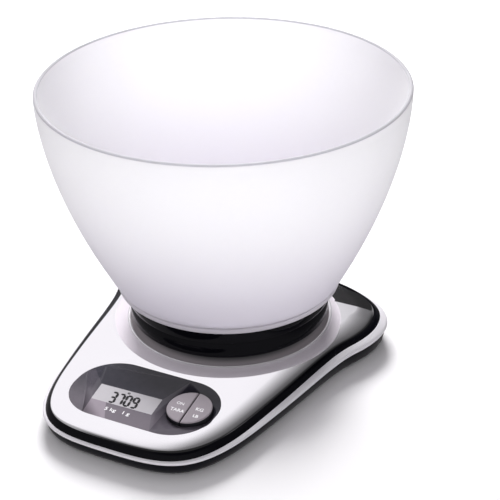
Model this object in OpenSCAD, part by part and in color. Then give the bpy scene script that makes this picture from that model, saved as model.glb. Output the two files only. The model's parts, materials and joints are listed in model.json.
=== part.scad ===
// Digital kitchen scale: a wedge-shaped chromed base with a display, a round black tray and a
// frosted bowl that lifts off.
// Millimetres. +Z is up, +Y is the back. The origin is on the table, under the middle of the
// whole object.

/* [Base outline] */
// Reach of the base from the tray's axis to its front edge
front_reach = 156; // [150:1:166]
// Distance from the collar's flat top to the base's back edge
back_margin = 10; // [9.5:0.5:14]
// Half width of the base behind its front corners
front_half_w = 70.5; // [67:0.5:76]
// Half width of the base in front of its back corners
back_half_w = 91; // [88:0.5:97]

/* [Base heights] */
// Height of the underside above the table
foot_gap = 1.5; // [1:0.1:2.5]
// Height of the trim ring's lower edge at the tray's axis
lip_z = 11.5; // [10.5:0.1:12]
// Rise of the trim ring's lower edge per millimetre towards the back
lip_slope = 0.014; // [0.012:0.001:0.018]
// Height of the deck at the tray's axis
deck_axis_z = 18.1; // [17.6:0.1:19.5]
// Rise of the deck per millimetre towards the back
deck_slope = 0.011; // [0.01:0.001:0.014]
// Wall of the lower shell
shell_wall = 2; // [1.6:0.1:2.4]
// Wall of the chromed cover
cover_wall = 2.2; // [1.8:0.1:2.6]
// Height of the collar round the tray above the deck at the tray's axis
collar_rise = 1.3; // [1.2:0.1:2]
// Radius of the collar's flat top
collar_r = 65; // [64:0.5:67]

/* [Tray] */
// Radius of the tray's top
tray_r = 67.6; // [66:0.2:68.5]
// Height of the tray's underside edge above the collar
tray_gap = 5.1; // [4:0.1:7]
// Height of the tray's lower skirt
skirt_h = 11.7; // [9:0.1:13]
// Height of the tray's upper part
tray_h = 13.3; // [11:0.1:15]
// Thickness of the tray's top plate
tray_top = 3; // [2.6:0.1:4]
// Wall of the tray and its skirt
tray_wall = 2.2; // [1.8:0.1:2.6]

/* [Bowl] */
// Outer radius of the bowl's rim
bowl_r = 115; // [108:1:125]
// Overall height of the bowl
bowl_h = 135; // [110:1:150]
// Wall of the bowl
bowl_wall = 2.4; // [2:0.1:3]
// Depth of the bowl's foot below its floor
bowl_foot_h = 3; // [2:0.1:4]
// Width of the bowl's foot ring
bowl_foot_w = 3.8; // [3:0.1:5]
// Roundness of the bowl's side: higher is fuller
bowl_fullness = 1.7; // [1.5:0.05:1.9]

/* [Display panel] */
// Width of the display panel
panel_w = 96; // [90:1:98]
// Depth of the display panel
panel_d = 56; // [54:1:58]
// Corner radius of the display panel
panel_corner = 26; // [20:1:27]
// Offset of the display panel's middle from the base's middle
panel_x = -2; // [-3:0.5:0]
// Distance of the display panel's middle in front of the tray's axis
panel_back = 107.5; // [106:0.5:109]
// Thickness of the display panel
panel_t = 1.5; // [1.3:0.1:1.7]
// Width of the display's viewing window
window_w = 43; // [40:0.5:44]
// Depth of the display's viewing window
window_d = 15; // [13:0.5:16]
// Radius of the round pair of buttons
button_r = 13.6; // [12:0.1:14]
// Height of the buttons above the deck
button_rise = 3.8; // [2.5:0.1:4.5]
// Gap between the two buttons
button_gap = 0.7; // [0.5:0.1:1]
// Angle of the gap between the buttons
button_turn = 8; // [0:1:12]
// Travel of a button
button_travel = 0.6; // [0.4:0.05:0.7]

/* [Load cell] */
// Length of the load cell
cell_len = 47; // [45:1:50]
// Width of the load cell
cell_w = 12; // [11:0.5:13]
// Height of the load cell
cell_h = 6; // [5.6:0.1:6.2]
// Height of the pad under the load cell's fixed end
cell_pad_h = 4; // [3.6:0.1:4.2]
// Outer radius of the hub that passes through the deck
hub_r = 24; // [23.8:0.1:26]

/* [Battery] */
// Radius of the coin cell
coin_r = 10; // [9.8:0.1:10.2]
// Height of the coin cell
coin_h = 3.2; // [3:0.1:3.4]
// Distance of the coin cell in front of the tray's axis
coin_back = 50; // [47:1:53]

/* [Hidden] */
$fn = 96;
eps = 0.01;

// Fits
slip = 0.1;        // gap round a piece that slides or turns in another
loose = 0.3;       // gap round a piece that is dropped into place
play = 0.6;        // gap between the tray and the bowl's foot

// The tray's axis stands behind the origin, so that the origin is under the middle
axis_y = (front_reach - bowl_r) / 2;

// Base outline: one half as three curves from the front middle round to the back middle
outline_steps = 16;
back_reach = collar_r + back_margin;
front_pull = 38;
front_corner_y = -(front_reach - 57);
front_corner_angle = 78;
front_corner_before = 57;
front_corner_after = 56;
back_corner_y = back_reach - 75;
back_corner_angle = 66;
back_corner_before = 20;
back_corner_after = 74;
back_pull = 42;
function ahead(angle, dist) = dist * [cos(angle), sin(angle)];
front_mid = [0, -front_reach];
front_turn = [front_half_w, front_corner_y];
back_turn = [back_half_w, back_corner_y];
back_mid = [0, back_reach];
function curve(a, b, c, d) = [
    for (i = [0:outline_steps - 1])
        let (t = i / outline_steps)
        pow(1 - t, 3) * a + 3 * pow(1 - t, 2) * t * b + 3 * (1 - t) * t * t * c + pow(t, 3) * d
];
half_outline = concat(
    curve(front_mid, front_mid + [front_pull, 0],
        front_turn - ahead(front_corner_angle, front_corner_before), front_turn),
    curve(front_turn, front_turn + ahead(front_corner_angle, front_corner_after),
        back_turn - ahead(back_corner_angle, back_corner_before), back_turn),
    curve(back_turn, back_turn + ahead(back_corner_angle, back_corner_after),
        back_mid + [back_pull, 0], back_mid)
);
half_count = len(half_outline);
outline = concat(
    half_outline,
    [back_mid],
    [for (i = [half_count - 1:-1:1]) [-half_outline[i][0], half_outline[i][1]]]
);
count = len(outline);
function unit(v) = v / norm(v);
inward = [
    for (i = [0:count - 1])
        let (t = unit(outline[(i + 1) % count] - outline[(i + count - 1) % count]))
        [-t[1], t[0]]
];

// Heights that slope towards the back, at a distance y behind the tray's axis
function lip_at(y) = lip_z + lip_slope * y;
function deck_at(y) = deck_axis_z + deck_slope * y;

// Section of the base's side, as insets from the outline and rises from the lip. Each is a triple:
// at the front edge, at the widest place and at the back edge
widest_y = back_reach - 42;
trim_inset = [1.2, 4.9, 1.8];
trim_rise = [2.1, 4.2, 3.6];
bulge_inset = [2.9, 7.7, 2.4];
bulge_rise = [4.3, 5.1, 4.6];
waist_inset = [4.6, 10, 3];
waist_rise = [5.8, 5.4, 5.1];
crease_inset = [16, 26, 5.5];
band_wall = 2.2;
shell_inset = [4.9, 6.6, 3.4];
function mix(a, b, share) = a + (b - a) * min(1, max(0, share));
function blend(triple, y) =
    y < widest_y
        ? mix(triple[0], triple[1], (y + front_reach) / (widest_y + front_reach))
        : mix(triple[1], triple[2], pow((y - widest_y) / (back_reach - widest_y), 1.5));
function same(value) = [value, value, value];

// A ring of points at an inset and a rise from the lip, both as such triples
function side_ring(inset, rise) = [
    for (i = [0:count - 1])
        let (p = outline[i], q = p + inward[i] * blend(inset, p[1]))
        [q[0], q[1], lip_at(p[1]) + blend(rise, p[1])]
];
function level_ring(inset, z) = [
    for (i = [0:count - 1])
        let (p = outline[i], q = p + inward[i] * blend(inset, p[1]))
        [q[0], q[1], z]
];
// A ring of the cover's shoulder: u runs from 0 at its lower edge to 90 at the deck, and skin
// is the depth under the outer surface
function shoulder_ring(u, skin) = [
    for (i = [0:count - 1])
        let (
            p = outline[i],
            low = blend(waist_inset, p[1]),
            high = blend(crease_inset, p[1]),
            q = p + inward[i] * (low + (high - low) * (1 - cos(u)) + skin * cos(u)),
            foot = lip_at(p[1]) + blend(waist_rise, p[1])
        )
        [q[0], q[1], foot + (deck_at(q[1]) - foot) * sin(u) - skin * sin(u)]
];

// Joins rings of points into a solid with a flat face at each end
function quads(rings, wrap) = [
    for (j = [0:len(rings) - (wrap ? 1 : 2)])
        for (i = [0:count - 1])
            let (
                a = j * count + i,
                b = j * count + (i + 1) % count,
                c = ((j + 1) % len(rings)) * count + i,
                d = ((j + 1) % len(rings)) * count + (i + 1) % count
            )
            each [[a, c, d], [a, d, b]]
];
module stack(rings) {
    last = (len(rings) - 1) * count;
    faces = concat(
        [[for (i = [0:count - 1]) i]],
        quads(rings, false),
        [[for (i = [count - 1:-1:0]) last + i]]
    );
    polyhedron([for (r = rings) each r], faces, convexity = 6);
}
module hoop(rings) {
    polyhedron([for (r = rings) each r], quads(rings, true), convexity = 6);
}

// Joins a route into a round wire with eight sides
wire_sides = 8;
function bend(path, i) = unit(path[min(i + 1, len(path) - 1)] - path[max(i - 1, 0)]);
module wire(path, r) {
    points = [
        for (i = [0:len(path) - 1])
            let (t = bend(path, i), u = unit(cross(t, [1, 0, 0])), v = cross(t, u))
            for (k = [0:wire_sides - 1])
                path[i] + r * (cos(k * 360 / wire_sides) * u + sin(k * 360 / wire_sides) * v)
    ];
    last = (len(path) - 1) * wire_sides;
    sides = [
        for (j = [0:len(path) - 2])
            for (k = [0:wire_sides - 1])
                let (a = j * wire_sides + k, b = j * wire_sides + (k + 1) % wire_sides)
                each [[a, a + wire_sides, b + wire_sides], [a, b + wire_sides, b]]
    ];
    ends = [
        [for (k = [0:wire_sides - 1]) k],
        [for (k = [wire_sides - 1:-1:0]) last + k]
    ];
    polyhedron(points, concat(sides, ends));
}

module at_axis() {
    translate([0, axis_y, 0]) children();
}
// The panel's own frame: on the deck, tilted with it
panel_tilt = atan(deck_slope);
module on_panel() {
    at_axis() translate([0, -panel_back, deck_at(-panel_back)]) rotate([panel_tilt, 0, 0]) children();
}

// Base interior
floor_z = foot_gap + shell_wall;

// Collar and the opening for the hub
collar_z = deck_axis_z + collar_rise;
collar_flare = 3;
hub_hole_r = hub_r + 3.5;

// Tray stack
tray_low_z = collar_z + tray_gap;
tray_split_z = tray_low_z + skirt_h;
tray_top_z = tray_split_z + tray_h;
plate_z = tray_top_z - tray_top;
tray_split_r = tray_r - 2;
tray_low_r = tray_split_r - 1.2;
tongue_h = 3;
pad_t = 0.8;
pad_in = 50;
pad_out = 60;

// Bowl
foot_z = tray_top_z - bowl_foot_h;
foot_in = tray_r + play;
foot_r = foot_in + bowl_foot_w;
foot_band = bowl_foot_h + 0.6;
groove = 0.7;
rim_z = foot_z + bowl_h;
bowl_floor = 2.5;
bowl_steps = 26;

// Display stack, as depths under the deck
glass_t = 2;
glass_w = window_w + 6;
glass_d = window_d + 5;
window_x = -11.7;
window_y = -4.9;
funnel = 0.9;
board_depth = 6;
board_t = 1.6;
board_w = 88;
board_d = 44;
board_x = panel_x;
holder_wall = 2;
zebra_w = 2.2;
boss_r = 2.5;
board_screw_r = 0.9;
board_edge = 4;
board_screws_at = [
    for (sx = [-1, 1], sy = [-1, 1])
        [board_x + sx * (board_w / 2 - board_edge), sy * (board_d / 2 - board_edge)]
];
board_screw_len = 4.6;
board_head_h = 1.2;
chip_h = 1.4;

// Buttons, as places on the panel and depths under the deck
button_x = 30.2;
button_y = -1;
button_flange = 0.8;
flange_top = panel_t + 0.05;
flange_low = flange_top + 0.75;
travel_gap = 0.3;
switch_size = 6;
plunger_r = 1.6;
switch_out = 6.5;
switch_top = flange_low + button_travel + travel_gap;
switch_h = board_depth - switch_top;

// Load cell
cell_z = floor_z + cell_pad_h;
cell_top = cell_z + cell_h;
cell_pad_len = 17;
cell_hole_r = 1.5;
cell_holes = [4.5, 12.5];
function hole_y(side, inset) = side * (cell_len / 2 - inset);
flexure_r = 2.2;
flexure_gap = 4;
cell_screw_head_r = 2.8;
cell_screw_head_h = 2;
carrier_gap = 1.5;
hub_floor_z = cell_top + carrier_gap;
hub_floor_t = 3;
hub_wall = 2;
flange_t = 2.2;
flange_r = 60;
tray_screw_r = 1.4;
tray_screw_ring = 44;
tray_screw_depth = 2;
rib_count = 6;

// Battery bay
cap_flange_r = coin_r + 6.7;
cap_neck_r = coin_r + 3.8;
cap_flange_t = 0.9;
lug_out = cap_neck_r + 2.2;
lug_angle = 32;
lug_t = 1;
lug_z = floor_z + slip;
coin_z = lug_z + lug_t + loose;
coin_top = coin_z + coin_h;
spring_t = 0.3;
holder_in = cap_flange_r + 0.5;
holder_out = holder_in + 2.6;
holder_top = coin_top + spring_t + 1.2;

// Fasteners and feet, as places about the tray's axis
posts_right = [
    [front_half_w - 16, -(front_reach - 46)],
    [(front_half_w + back_half_w) / 2 - 14.5, -(front_reach - 116)],
    [back_half_w - 19, back_reach - 51]
];
housing_screws_at = [for (s = [-1, 1], p = posts_right) [s * p[0], p[1]]];
post_r = 3.6;
post_top = 9;
housing_screw_r = 1.25;
housing_head_r = 2.6;
housing_head_h = 1.8;
foot_pad_r = 7;
foot_pad_sink = 0.6;
foot_front = [front_half_w - 24.5, -(front_reach - 26)];
foot_back = [back_half_w - 25, back_reach - 33];
feet_at = [for (p = [foot_front, foot_back], s = [-1, 1]) [s * p[0], p[1]]];
foot_names = ["foot_front_left", "foot_front_right", "foot_back_left", "foot_back_right"];
stop_r = 2;
stop_gap = 0.9;
screw_tip = 3;     // depth under the deck at which the housing screws end

// Lower shell, with its posts, the load cell's pad and the battery opening
module base_shell_solid() {
    stack([
        level_ring([4.8, 5.6, 4.8], foot_gap),
        level_ring([3, 3.6, 3], foot_gap + 0.6),
        level_ring([2, 2.4, 2], foot_gap + 2.4),
        side_ring([1.2, 1.6, 1.2], [-2.6, -2.8, -2.8]),
        side_ring([0.9, 1.2, 0.9], same(0)),
        side_ring(shell_inset, same(0)),
        side_ring(shell_inset, same(-2)),
        level_ring(shell_inset + same(1), floor_z + 1),
        level_ring(shell_inset + same(2.5), floor_z)
    ]);
}
module base_shell() {
    color([0.05, 0.05, 0.055]) at_axis() difference() {
        union() {
            base_shell_solid();
            for (p = housing_screws_at) {
                translate([p[0], p[1], foot_gap + eps]) cylinder(h = post_top - foot_gap, r = post_r);
            }
            translate([-cell_w / 2 - 1, -cell_len / 2 - 1, foot_gap + eps]) {
                cube([cell_w + 2, cell_pad_len + 1, cell_z - foot_gap - eps]);
            }
            translate([0, hole_y(1, cell_holes[0]), foot_gap + eps]) {
                cylinder(h = cell_z - 1.5 - foot_gap, r = stop_r + 1.6);
            }
            translate([0, -coin_back, floor_z - eps]) difference() {
                cylinder(h = 2.2, r = holder_out + 1.2);
                translate([0, 0, -eps]) cylinder(h = 3, r = holder_out);
            }
        }
        for (p = housing_screws_at) {
            translate([p[0], p[1], foot_gap - 1]) cylinder(h = housing_head_h + 1 + loose, r = housing_head_r + loose);
            translate([p[0], p[1], foot_gap - 1]) cylinder(h = post_top + 2, r = housing_screw_r + loose);
        }
        for (inset = cell_holes) {
            translate([0, hole_y(-1, inset), foot_gap - 1]) {
                cylinder(h = cell_screw_head_h + 1 + loose, r = cell_screw_head_r + loose);
                cylinder(h = cell_z, r = cell_hole_r + 0.2);
            }
        }
        translate([0, hole_y(1, cell_holes[0]), foot_gap - 1]) cylinder(h = cell_z, r = stop_r);
        translate([0, -coin_back, foot_gap - 1]) {
            cylinder(h = 1 + cap_flange_t + slip, r = cap_flange_r + slip);
            cylinder(h = shell_wall + 2, r = cap_neck_r + slip);
            rotate([0, 0, 45]) lugs(shell_wall + 2, lug_out + slip, lug_angle + 4);
        }
        for (p = feet_at) {
            translate([p[0], p[1], foot_gap - 1]) cylinder(h = 1 + foot_pad_sink, r = foot_pad_r);
        }
    }
}
// Two opposite sectors, which hold the battery cap under the shell's floor
module lugs(h, r, angle) {
    linear_extrude(h) for (s = [0, 180]) rotate([0, 0, s]) intersection() {
        circle(r = r);
        polygon([[0, 0], 2 * r * [cos(angle / 2), -sin(angle / 2)], 2 * r * [cos(angle / 2), sin(angle / 2)]]);
    }
}

// Bright band round the base
module trim_ring() {
    color([0.72, 0.72, 0.75]) at_axis() hoop([
        side_ring([0.25, 0.35, 0.25], same(0)),
        side_ring(same(0), [0.7, 1, 1]),
        side_ring([0.2, 1, 0.3], [1.5, 2.6, 2.3]),
        side_ring(trim_inset, trim_rise),
        side_ring(shell_inset + same(1.8), trim_rise),
        side_ring(shell_inset, same(0))
    ]);
}
// Glossy black band between the trim ring and the cover
module waist_band() {
    color([0.04, 0.04, 0.045]) at_axis() hoop([
        side_ring(trim_inset + same(0.3), trim_rise),
        side_ring(bulge_inset, bulge_rise),
        side_ring(waist_inset, waist_rise),
        side_ring(waist_inset + same(band_wall), waist_rise),
        side_ring(waist_inset + same(band_wall), trim_rise)
    ]);
}

// Chromed cover with the collar, the panel's recess and the bosses under it
module top_cover_solid() {
    stack([
        shoulder_ring(90, cover_wall),
        for (u = [72:-24:0]) shoulder_ring(u, cover_wall),
        for (u = [0:15:90]) shoulder_ring(u, 0)
    ]);
}
module top_cover() {
    color([0.86, 0.86, 0.88]) difference() {
        union() {
            at_axis() top_cover_solid();
            at_axis() translate([0, 0, deck_at(-collar_r) - 1]) {
                cylinder(h = 1, r = collar_r + collar_flare);
                translate([0, 0, 1]) cylinder(
                    h = collar_z - deck_at(-collar_r),
                    r1 = collar_r + collar_flare,
                    r2 = collar_r
                );
            }
            at_axis() for (p = housing_screws_at) {
                translate([p[0], p[1], post_top + slip]) {
                    cylinder(h = deck_at(p[1]) - 1 - post_top - slip, r = post_r);
                }
            }
            on_panel() for (p = board_screws_at) {
                translate([p[0], p[1], -board_depth]) cylinder(h = board_depth - 1, r = boss_r);
            }
        }
        at_axis() translate([0, 0, floor_z]) cylinder(h = 30, r = hub_hole_r);
        at_axis() for (p = housing_screws_at) {
            translate([p[0], p[1], floor_z]) {
                cylinder(h = deck_at(p[1]) - screw_tip + 0.5 - floor_z, r = housing_screw_r);
            }
        }
        on_panel() {
            translate([0, 0, -panel_t]) linear_extrude(5) panel_outline(slip);
            translate([window_x, window_y, -5]) linear_extrude(10) {
                square([glass_w + 2 * loose, glass_d + 2 * loose], center = true);
            }
            translate([button_x, button_y, -5]) cylinder(h = 10, r = button_r + button_flange + loose);
            for (p = board_screws_at) {
                translate([p[0], p[1], -board_depth - 1]) {
                    cylinder(h = board_screw_len - board_t + 1.2, r = board_screw_r);
                }
            }
        }
    }
}

// Rounded outline of the display panel, grown by a gap
module panel_outline(gap) {
    r = panel_corner;
    translate([panel_x, 0]) {
        for (sx = [-1, 1], sy = [-1, 1]) {
            translate([sx * (panel_w / 2 - r), sy * (panel_d / 2 - r)]) circle(r = r + gap);
        }
        square([panel_w + 2 * gap, panel_d - 2 * r], center = true);
        square([panel_w - 2 * r, panel_d + 2 * gap], center = true);
    }
}
// Smoky panel: its four facets slope down to the display window
module display_panel() {
    left = panel_x - panel_w / 2 + 3;
    right = button_x - button_r - 2.5;
    deep = panel_d - 5;
    color([0.3, 0.3, 0.34, 0.9]) on_panel() difference() {
        translate([0, 0, -panel_t]) linear_extrude(panel_t) panel_outline(0);
        hull() {
            translate([window_x, window_y, -funnel + eps / 2]) cube([window_w, window_d, eps], center = true);
            translate([left, -deep / 2, eps]) cube([right - left, deep, eps]);
        }
        translate([button_x, button_y, -5]) cylinder(h = 10, r = button_r + loose);
    }
}
module lcd_glass() {
    color([0.75, 0.77, 0.75]) on_panel() translate([window_x, window_y, -panel_t - glass_t / 2]) {
        cube([glass_w, glass_d, glass_t], center = true);
    }
}
module lcd_holder() {
    h = board_depth - cover_wall;
    color([0.9, 0.9, 0.88]) on_panel() translate([window_x, window_y, -board_depth]) {
        linear_extrude(h) difference() {
            square([glass_w + 2 * holder_wall, glass_d + 2 * holder_wall], center = true);
            square([glass_w + 2 * slip, glass_d + 2 * slip], center = true);
        }
    }
}
// Rubber connectors that press the display onto the board
module zebra_strips() {
    h = board_depth - panel_t - glass_t;
    color([0.85, 0.4, 0.5]) on_panel() for (s = [-1, 1]) {
        translate([window_x, window_y + s * (glass_d / 2 - zebra_w), -board_depth + h / 2]) {
            cube([window_w, zebra_w, h], center = true);
        }
    }
}
module main_board() {
    color([0.1, 0.35, 0.2]) on_panel() translate([board_x, 0, -board_depth - board_t]) difference() {
        linear_extrude(board_t) square([board_w, board_d], center = true);
        for (p = board_screws_at) {
            translate([p[0] - board_x, p[1], -1]) cylinder(h = board_t + 2, r = board_screw_r + 0.2);
        }
    }
}
module controller_chip() {
    color([0.06, 0.06, 0.06]) on_panel() translate([window_x, window_y, -board_depth - board_t - chip_h]) {
        cylinder(h = chip_h, r1 = 5, r2 = 6.5);
    }
}
module board_screws() {
    color([0.7, 0.7, 0.72]) on_panel() for (p = board_screws_at) {
        translate([p[0], p[1], -board_depth - board_t]) {
            cylinder(h = board_screw_len, r = board_screw_r);
            translate([0, 0, -board_head_h]) cylinder(h = board_head_h, r = board_screw_r + 1);
        }
    }
}

// Switches on the board, one under each button
module each_switch() {
    for (s = [-1, 1]) translate([button_x + s * switch_out, button_y, 0]) children();
}
module switch_bodies() {
    color([0.15, 0.15, 0.15]) on_panel() each_switch() {
        translate([0, 0, -board_depth]) difference() {
            linear_extrude(switch_h) square([switch_size, switch_size], center = true);
            translate([0, 0, 1]) cylinder(h = switch_h, r = plunger_r + slip);
        }
    }
}
module plunger(s) {
    low = switch_top + 0.8;
    color([0.8, 0.8, 0.78]) on_panel() translate([button_x + s * switch_out, button_y, -low]) {
        cylinder(h = low - flange_low, r = plunger_r);
    }
}
module plunger_tare() {
    plunger(-1);
}
module plunger_unit() {
    plunger(1);
}
// One half of the round pair of buttons: s is -1 for the left one and 1 for the right one
module button_half(s) {
    edge = 1.2;
    top = button_rise;
    color([0.62, 0.6, 0.63]) on_panel() translate([button_x, button_y, 0]) rotate([0, 0, button_turn]) {
        intersection() {
            rotate_extrude() polygon(concat(
                [[0, -flange_low], [button_r + button_flange, -flange_low]],
                [[button_r + button_flange, -flange_top], [button_r, -flange_top]],
                [for (a = [0:15:90]) [button_r - edge + edge * cos(a), top - edge + edge * sin(a)]],
                [[0, top]]
            ));
            translate([s > 0 ? button_gap / 2 : -50 - button_gap / 2, -50, -10]) cube([50, 100, 20]);
        }
    }
}
module button_tare() {
    button_half(-1);
}
module button_unit() {
    button_half(1);
}

// Load cell: a bar with two overlapping bores, fixed at its front and loaded at its back
module load_cell() {
    color([0.8, 0.8, 0.82]) at_axis() difference() {
        translate([-cell_w / 2, -cell_len / 2, cell_z]) cube([cell_w, cell_len, cell_h]);
        for (s = [-1, 1]) {
            translate([-cell_w, s * flexure_gap, cell_z + cell_h / 2]) rotate([0, 90, 0]) {
                cylinder(h = 2 * cell_w, r = flexure_r);
            }
            for (inset = cell_holes) {
                translate([0, hole_y(s, inset), cell_z - 1]) cylinder(h = cell_h + 2, r = cell_hole_r);
            }
        }
        translate([-cell_w, -flexure_gap, cell_z + cell_h / 2 - 0.6]) cube([2 * cell_w, 2 * flexure_gap, 1.2]);
    }
}
module gauge_potting() {
    color([0.9, 0.9, 0.88]) at_axis() translate([-cell_w / 2 + 1, -6, cell_top]) cube([cell_w - 2, 12, 0.5]);
}
module cell_screws() {
    color([0.7, 0.7, 0.72]) at_axis() for (inset = cell_holes) {
        translate([0, hole_y(-1, inset), foot_gap + loose]) {
            cylinder(h = cell_screw_head_h, r = cell_screw_head_r);
            cylinder(h = cell_top - 1 - foot_gap - loose, r = cell_hole_r);
        }
    }
}
module overload_stop() {
    color([0.7, 0.7, 0.72]) at_axis() translate([0, hole_y(1, cell_holes[0]), foot_gap + 0.2]) {
        cylinder(h = cell_z - stop_gap - foot_gap - 0.2, r = stop_r);
    }
}
module carrier_screws() {
    color([0.7, 0.7, 0.72]) at_axis() for (inset = cell_holes) {
        translate([0, hole_y(1, inset), 0]) {
            translate([0, 0, hub_floor_z + hub_floor_t]) cylinder(h = cell_screw_head_h, r = cell_screw_head_r);
            translate([0, 0, cell_z + 1]) {
                cylinder(h = hub_floor_z + hub_floor_t - cell_z - 1, r = cell_hole_r);
            }
        }
    }
}

// Carrier: a hub on the load cell's free end, with a ribbed flange under the tray
module platform_carrier() {
    rib_h = 16;
    rib_low = plate_z - flange_t - rib_h;
    color([0.3, 0.3, 0.32]) at_axis() difference() {
        union() {
            translate([0, 0, hub_floor_z]) cylinder(h = plate_z - hub_floor_z, r = hub_r);
            translate([0, 0, plate_z - flange_t]) cylinder(h = flange_t, r = flange_r);
            intersection() {
                translate([-cell_w / 2, 7, cell_top]) cube([cell_w, hub_r, carrier_gap + 1]);
                translate([0, 0, cell_top]) cylinder(h = 5, r = hub_r);
            }
            for (k = [0:rib_count - 1]) rotate([90, 0, (k + 0.25) * 360 / rib_count]) {
                translate([0, 0, -1]) linear_extrude(2) polygon([
                    [hub_r - 1, rib_low], [flange_r - 4, plate_z - flange_t - 1],
                    [flange_r - 4, plate_z - 1], [hub_r - 1, plate_z - 1]
                ]);
            }
        }
        translate([0, 0, hub_floor_z + hub_floor_t]) cylinder(h = 60, r = hub_r - hub_wall);
        for (inset = cell_holes) {
            translate([0, hole_y(1, inset), 0]) cylinder(h = 60, r = cell_hole_r + 0.1);
        }
        each_tray_screw() translate([0, 0, plate_z - 10]) cylinder(h = 20, r = tray_screw_r + 0.1);
    }
}
module each_tray_screw() {
    for (a = [0:90:270]) rotate([0, 0, a]) translate([tray_screw_ring, 0, 0]) children();
}
module tray_screws() {
    color([0.7, 0.7, 0.72]) at_axis() each_tray_screw() {
        translate([0, 0, plate_z - flange_t]) cylinder(h = flange_t + tray_screw_depth, r = tray_screw_r);
        translate([0, 0, plate_z - flange_t - 1.6]) cylinder(h = 1.6, r = tray_screw_r + 1.4);
    }
}
module weighing_tray() {
    color([0.05, 0.05, 0.055]) at_axis() difference() {
        rotate_extrude() polygon([
            [0, plate_z], [tray_r - tray_wall - 0.6, plate_z],
            [tray_split_r - tray_wall, tray_split_z], [tray_split_r, tray_split_z],
            [tray_r, tray_top_z - 0.8], [tray_r - 0.8, tray_top_z], [0, tray_top_z]
        ]);
        translate([0, 0, tray_top_z - pad_t]) difference() {
            cylinder(h = 2, r = pad_out);
            translate([0, 0, -1]) cylinder(h = 4, r = pad_in);
        }
        each_tray_screw() translate([0, 0, plate_z - 1]) cylinder(h = 1 + tray_screw_depth, r = tray_screw_r);
    }
}
// Lower skirt, whose tongue fits inside the tray's wall
module tray_skirt() {
    tongue_r = tray_split_r - tray_wall - slip / 2;
    color([0.05, 0.05, 0.055]) at_axis() rotate_extrude() polygon([
        [tray_low_r - tray_wall, tray_low_z], [tray_low_r - 0.6, tray_low_z],
        [tray_low_r, tray_low_z + 0.6], [tray_split_r - 0.5, tray_split_z],
        [tongue_r, tray_split_z], [tongue_r, tray_split_z + tongue_h],
        [tongue_r - 1.6, tray_split_z + tongue_h], [tongue_r - 1.6, tray_split_z - 1]
    ]);
}
module tray_pad() {
    color([0.12, 0.12, 0.12]) at_axis() translate([0, 0, tray_top_z - pad_t]) linear_extrude(pad_t) {
        difference() {
            circle(r = pad_out);
            circle(r = pad_in);
        }
    }
}

// Radius of the bowl's outside at a share t of its height above the foot band
function bowl_out(t) = foot_r + 0.6 + (bowl_r - foot_r - 0.6) * (1 - pow(1 - t, bowl_fullness));
module bowl() {
    low = foot_z + foot_band + groove;
    rim = 1.45;
    outside = [
        for (k = [0:bowl_steps]) let (t = k / bowl_steps) [bowl_out(t), low + (rim_z - rim - low) * t]
    ];
    inside = [
        for (k = [bowl_steps:-1:2])
            let (t = k / bowl_steps, d = bowl_out(t) - bowl_out(t - 0.02), e = (rim_z - low) * 0.02)
            outside[k] + bowl_wall * unit([-e, d])
    ];
    color([0.95, 0.95, 0.97, 0.75]) at_axis() rotate_extrude($fn = 180) polygon(concat(
        [[0, tray_top_z], [foot_in, tray_top_z], [foot_in, foot_z], [foot_r - 0.8, foot_z]],
        [[foot_r, foot_z + 0.8], [foot_r, foot_z + foot_band - 0.4], [foot_r - groove, foot_z + foot_band]],
        outside,
        [for (a = [30:30:150]) [bowl_r - rim + rim * cos(a), rim_z - rim + rim * sin(a)]],
        inside,
        [[foot_r - 3, tray_top_z + bowl_floor], [0, tray_top_z + bowl_floor]]
    ));
}

// Battery bay
module at_coin() {
    at_axis() translate([0, -coin_back, 0]) children();
}
module battery_cap() {
    color([0.06, 0.06, 0.065]) at_coin() difference() {
        union() {
            translate([0, 0, foot_gap]) cylinder(h = cap_flange_t, r = cap_flange_r);
            translate([0, 0, foot_gap]) cylinder(h = lug_z + lug_t - foot_gap, r = cap_neck_r);
            translate([0, 0, lug_z]) lugs(lug_t, lug_out, lug_angle);
            translate([0, 0, lug_z]) cylinder(h = coin_z - lug_z, r = coin_r - 2);
        }
        translate([-9, -0.9, foot_gap - 1]) cube([18, 1.8, 2]);
    }
}
module coin_cell() {
    color([0.82, 0.82, 0.84]) at_coin() translate([0, 0, coin_z]) rotate_extrude() polygon([
        [0, 0], [coin_r, 0], [coin_r, coin_h - 0.5], [coin_r - 0.9, coin_h], [0, coin_h]
    ]);
}
module battery_holder() {
    guide_in = coin_r + spring_t;
    plate = coin_top + spring_t;
    color([0.9, 0.9, 0.88]) at_coin() rotate_extrude() polygon([
        [0, plate], [guide_in, plate], [guide_in, coin_z + 0.4], [guide_in + 1.5, coin_z + 0.4],
        [guide_in + 1.5, plate], [holder_in, plate], [holder_in, floor_z], [holder_out, floor_z],
        [holder_out, holder_top], [0, holder_top]
    ]);
}
module contact_plus() {
    angle = 50;
    color([0.85, 0.8, 0.6]) at_coin() translate([0, 0, coin_z + 0.6]) {
        linear_extrude(coin_h - 1.2) intersection() {
            difference() {
                circle(r = coin_r + spring_t);
                circle(r = coin_r);
            }
            polygon([[0, 0], 30 * [cos(angle / 2), -sin(angle / 2)], 30 * [cos(angle / 2), sin(angle / 2)]]);
        }
    }
}
module contact_minus() {
    color([0.85, 0.8, 0.6]) at_coin() translate([0, 0, coin_top]) cylinder(h = spring_t, r = 5);
}
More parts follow.
